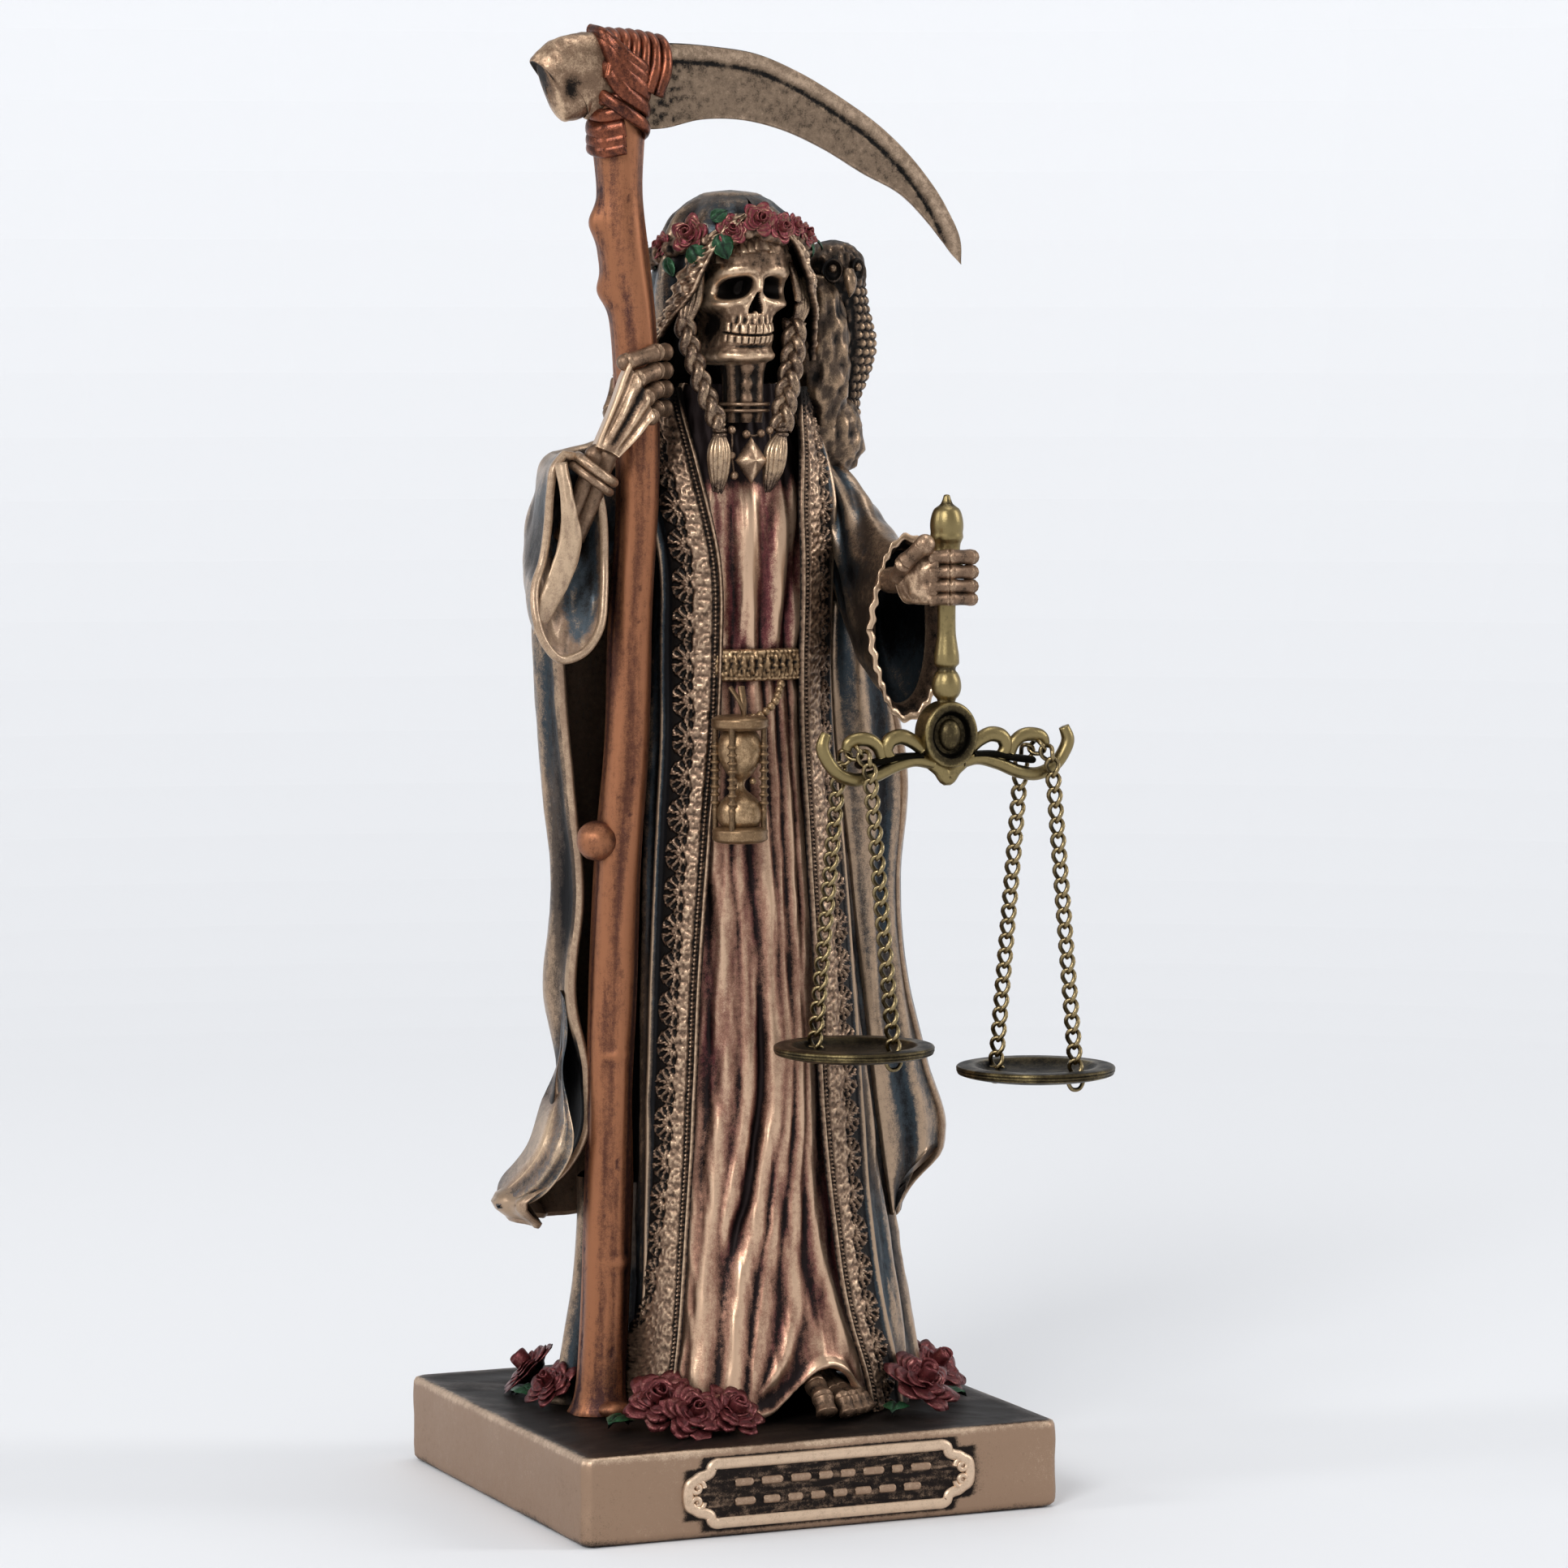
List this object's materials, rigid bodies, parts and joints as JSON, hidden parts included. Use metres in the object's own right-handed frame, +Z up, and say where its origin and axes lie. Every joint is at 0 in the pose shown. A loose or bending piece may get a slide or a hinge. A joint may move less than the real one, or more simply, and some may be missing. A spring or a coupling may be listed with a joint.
{
  "type": "saint figurine",
  "caption": "Hand-painted cold-cast bronze figurine of a robed skeleton saint on a square plinth, with a scythe in one hand and hanging balance scales in the other.",
  "frame": {"origin": "centre of the plinth's underside, where it rests", "axes": "+Z up along the figure, -Y the way the figure faces, +X towards the side with the hanging scales"},
  "size_m": [0.0826, 0.0777, 0.21],
  "materials": {
    "plinth_bronze": "cold-cast bronze, champagne metallic sides with a dark brown rubbed top",
    "figure_bronze": "cold-cast bronze, hand-painted slate blue, wine and bronze with dark wash and rubbed highlights",
    "scythe_copper": "cold-cast bronze, copper-brown shaft and pale bronze blade, dark wash",
    "antique_brass": "antique brass, granular, dark in the recesses",
    "chain_brass": "dark antique bronze-plated curb chain"
  },
  "bodies": {
    "root": {"plinth": "plinth_bronze", "figure": "figure_bronze", "scythe": "scythe_copper", "balance_beam": "antique_brass", "pan_chain_left": "chain_brass", "pan_left": "antique_brass", "pan_chain_right": "chain_brass", "pan_right": "antique_brass"}
  },
  "joints": []
}
